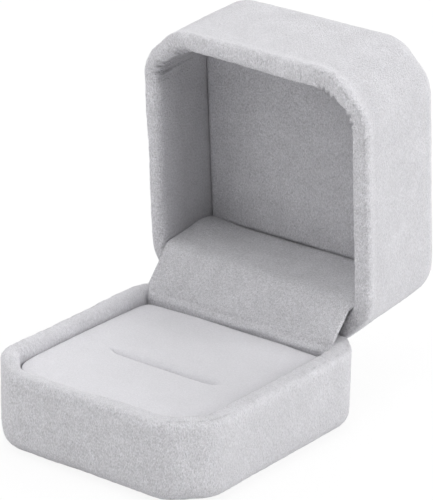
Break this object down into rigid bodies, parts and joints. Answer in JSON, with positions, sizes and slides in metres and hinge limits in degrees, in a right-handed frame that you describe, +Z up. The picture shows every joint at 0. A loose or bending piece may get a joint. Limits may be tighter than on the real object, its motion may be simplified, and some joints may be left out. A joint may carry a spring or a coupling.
{
  "type": "hinged ring box",
  "caption": "Small velvet-covered clamshell box with cut corners, a slotted ring pad and a lid on a snap hinge, shown standing open.",
  "frame": {"origin": "centre of the base's underside, on the surface that the box stands on", "axes": "+X along the hinge, -Y towards the front of the box, +Z up"},
  "size_m": [0.053, 0.0792, 0.0724],
  "materials": {
    "outer_velvet": "short-pile velvet, light cool grey",
    "lining_velvet": "short-pile velvet, light cool grey",
    "pad_velvet": "smooth short-pile velvet, light grey",
    "base_paper": "flocked paper",
    "card": "grey board",
    "foam": "open-cell foam",
    "shell_plastic": "moulded, matt",
    "hinge_steel": "nickel plated",
    "spring_steel": "tempered strip"
  },
  "bodies": {
    "base": {"base_shell": "shell_plastic", "base_cover": "outer_velvet", "bottom_patch": "base_paper", "pad_board": "card", "pad_foam_front": "foam", "pad_foam_rear": "foam", "pad_cover": "pad_velvet", "hinge_base_leaf": "hinge_steel", "hinge_base_rivets": "hinge_steel", "hinge_pin": "hinge_steel", "hinge_spring": "spring_steel"},
    "lid": {"lid_shell": "shell_plastic", "lid_cover": "outer_velvet", "ceiling_board": "card", "ceiling_cloth": "lining_velvet", "ceiling_foam": "foam", "flap_board": "card", "hinge_lid_leaf": "hinge_steel", "hinge_lid_rivets": "hinge_steel", "hinge_flap": "lining_velvet"}
  },
  "joints": [
    {"name": "lid_hinge", "type": "hinge", "parent": "base", "child": "lid", "pos_m": [0, 0.02555, 0.01685], "axis": [1, 0, 0], "range_deg": [0, 85], "deforming": ["hinge_flap", "hinge_spring"]}
  ]
}
